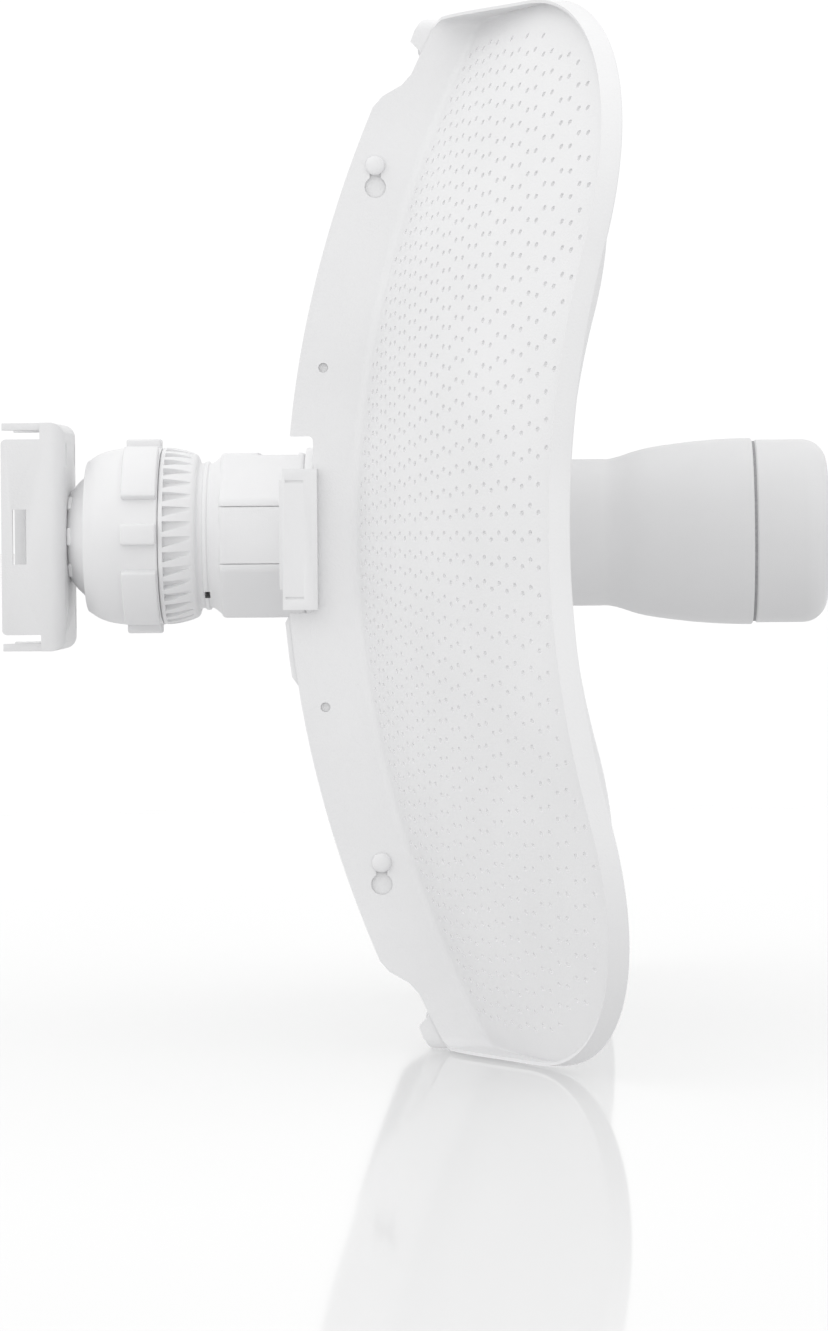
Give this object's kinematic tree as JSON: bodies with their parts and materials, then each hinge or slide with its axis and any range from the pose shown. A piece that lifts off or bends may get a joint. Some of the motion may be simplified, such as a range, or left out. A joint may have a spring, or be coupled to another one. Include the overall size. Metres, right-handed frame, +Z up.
{
  "type": "outdoor wireless bridge",
  "caption": "Long-range outdoor radio with a wide three-panel perforated dish, a feed on its axis and a ball-joint pole mount.",
  "frame": {"origin": "on the axis of a 50 mm pole seated in the bracket, level with the dish's axis", "axes": "+X the way the dish points, +Y to its left, +Z up"},
  "size_m": [0.287, 0.4814, 0.338],
  "materials": {
    "panel_metal": "white powder coat, fine orange peel",
    "bracket_metal": "pale powder coat",
    "housing_plastic": "white moulded plastic, fine grain",
    "radome_plastic": "cool white moulded plastic, satin",
    "liner_plastic": "slippery dark plastic",
    "dark_plastic": "black moulded plastic",
    "seal_rubber": "grey seal rubber",
    "zinc_steel": "zinc plated",
    "tinned_steel": "tinned sheet",
    "board": "green solder mask",
    "spreader_aluminium": "mill finish",
    "lens": "clear moulded lens"
  },
  "bodies": {
    "bracket": {"pole_bracket": "bracket_metal", "mount_ball": "housing_plastic", "ball_screw": "zinc_steel", "ball_washer": "zinc_steel"},
    "pan_liner": {"inner_liner": "liner_plastic"},
    "tilt_liner": {"outer_liner": "liner_plastic"},
    "head": {"neck_housing": "housing_plastic", "ribbed_collar": "housing_plastic", "door_pin": "zinc_steel", "reset_switch": "dark_plastic", "feed_tube": "radome_plastic", "feed_cap": "radome_plastic", "cap_gasket": "seal_rubber", "tube_gasket": "seal_rubber", "centre_panel": "panel_metal", "right_wing": "panel_metal", "left_wing": "panel_metal", "panel_pegs": "panel_metal", "mount_saddle": "housing_plastic", "radio_board": "board", "shield_can": "tinned_steel", "heat_spreader": "spreader_aluminium", "ethernet_jack": "tinned_steel", "light_pipe": "lens", "driver_board": "board", "sub_reflector": "spreader_aluminium"},
    "nut": {"lock_nut": "housing_plastic"},
    "latch": {"release_latch": "housing_plastic"},
    "door": {"port_door": "housing_plastic", "door_gasket": "seal_rubber"},
    "reset": {"reset_button": "liner_plastic"}
  },
  "joints": [
    {"name": "pan", "type": "hinge", "parent": "bracket", "child": "pan_liner", "pos_m": [0.0627, 0, 0], "axis": [0, 0, 1], "range_deg": [-9, 9]},
    {"name": "tilt", "type": "hinge", "parent": "pan_liner", "child": "tilt_liner", "pos_m": [0.0627, 0, 0], "axis": [0, 1, 0], "range_deg": [-9, 9]},
    {"name": "roll", "type": "hinge", "parent": "tilt_liner", "child": "head", "pos_m": [0.0627, 0, 0], "axis": [1, 0, 0], "range_deg": [-90, 90]},
    {"name": "nut_turn", "type": "hinge", "parent": "head", "child": "nut", "pos_m": [0.0627, 0, 0], "axis": [1, 0, 0], "range_deg": [-120, 0]},
    {"name": "latch_press", "type": "slide", "parent": "head", "child": "latch", "axis": [0, 0, -1], "range_m": [0, 0.0007], "stiffness_N_per_m": 3000, "springref_m": -0.0005},
    {"name": "door_hinge", "type": "hinge", "parent": "head", "child": "door", "pos_m": [0.097, 0, -0.0273], "axis": [0, 1, 0], "range_deg": [0, 100]},
    {"name": "reset_press", "type": "slide", "parent": "head", "child": "reset", "axis": [0, 0, 1], "range_m": [0, 0.0004], "stiffness_N_per_m": 2000, "springref_m": -0.0003}
  ]
}
